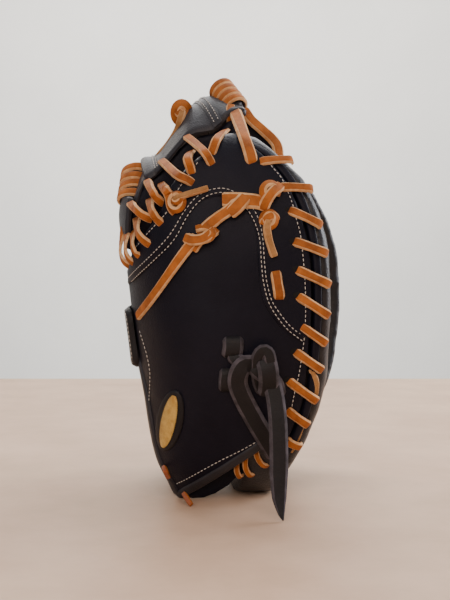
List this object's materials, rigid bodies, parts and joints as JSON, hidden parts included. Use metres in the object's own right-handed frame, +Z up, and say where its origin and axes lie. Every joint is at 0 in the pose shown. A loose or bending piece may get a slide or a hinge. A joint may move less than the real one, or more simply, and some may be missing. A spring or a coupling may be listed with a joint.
{
  "type": "catcher mitt",
  "caption": "Left-hand catcher mitt in padded black leather with tan rim lacing, a laced web, a wrist strap and a thumb adjustment strap, standing on its heel.",
  "frame": {"origin": "centre of the bounding box in plan, on the surface that the mitt stands on", "axes": "+X out of the pocket, +Y towards the finger side, +Z up from heel to web"},
  "size_m": [0.186, 0.2216, 0.3199],
  "materials": {
    "black_leather": "smooth drum-dyed black steerhide with a fine grain and a soft semi-matt finish",
    "palm_leather": "black palm hide, rolled and padded, with a slightly higher sheen along the rim",
    "tan_lace": "tan rawhide lace with a grained face, pale cut edges and a rough flesh side",
    "strap_leather": "matt black strap leather with raw edges",
    "gold_embroidery": "dense gold satin-stitch embroidery with a soft metallic sheen"
  },
  "bodies": {
    "root": {"palm_pad": "palm_leather", "thumb_panel": "black_leather", "finger_panel": "black_leather", "thumb_rim_roll": "black_leather", "finger_rim_roll": "black_leather", "wrist_binding": "black_leather", "web_upper": "black_leather", "web_lower": "black_leather", "rim_lace_thumb_01": "tan_lace", "rim_lace_thumb_02": "tan_lace", "rim_lace_thumb_03": "tan_lace", "rim_lace_thumb_04": "tan_lace", "rim_lace_thumb_05": "tan_lace", "rim_lace_thumb_06": "tan_lace", "rim_lace_thumb_07": "tan_lace", "rim_lace_thumb_08": "tan_lace", "rim_lace_thumb_09": "tan_lace", "rim_lace_thumb_10": "tan_lace", "rim_lace_thumb_11": "tan_lace", "rim_lace_finger_01": "tan_lace", "rim_lace_finger_02": "tan_lace", "rim_lace_finger_03": "tan_lace", "rim_lace_finger_04": "tan_lace", "rim_lace_finger_05": "tan_lace", "rim_lace_finger_06": "tan_lace", "rim_lace_finger_07": "tan_lace", "rim_lace_finger_08": "tan_lace", "rim_lace_finger_09": "tan_lace", "heel_lace_1": "tan_lace", "heel_lace_2": "tan_lace", "heel_lace_3": "tan_lace", "web_lace_1": "tan_lace", "web_lace_2": "tan_lace", "web_lace_3": "tan_lace", "web_lace_4": "tan_lace", "web_lace_5": "tan_lace", "web_lace_6": "tan_lace", "web_lace_7": "tan_lace", "web_lace_8": "tan_lace", "corner_lace_1": "tan_lace", "corner_lace_2": "tan_lace", "corner_lace_3": "tan_lace", "web_top_lace": "tan_lace", "lace_stitch": "tan_lace", "lace_knot_upper": "tan_lace", "lace_knot_rim": "tan_lace", "lace_knot_middle": "tan_lace", "lace_knot_lower": "tan_lace", "web_top_coil": "tan_lace", "web_back_coil": "tan_lace", "strap_loop_upper": "strap_leather", "strap_loop_lower": "strap_leather", "strap_band": "strap_leather", "strap_knot": "strap_leather", "back_strap": "strap_leather", "patch_border": "strap_leather", "patch_field": "gold_embroidery"}
  },
  "joints": []
}
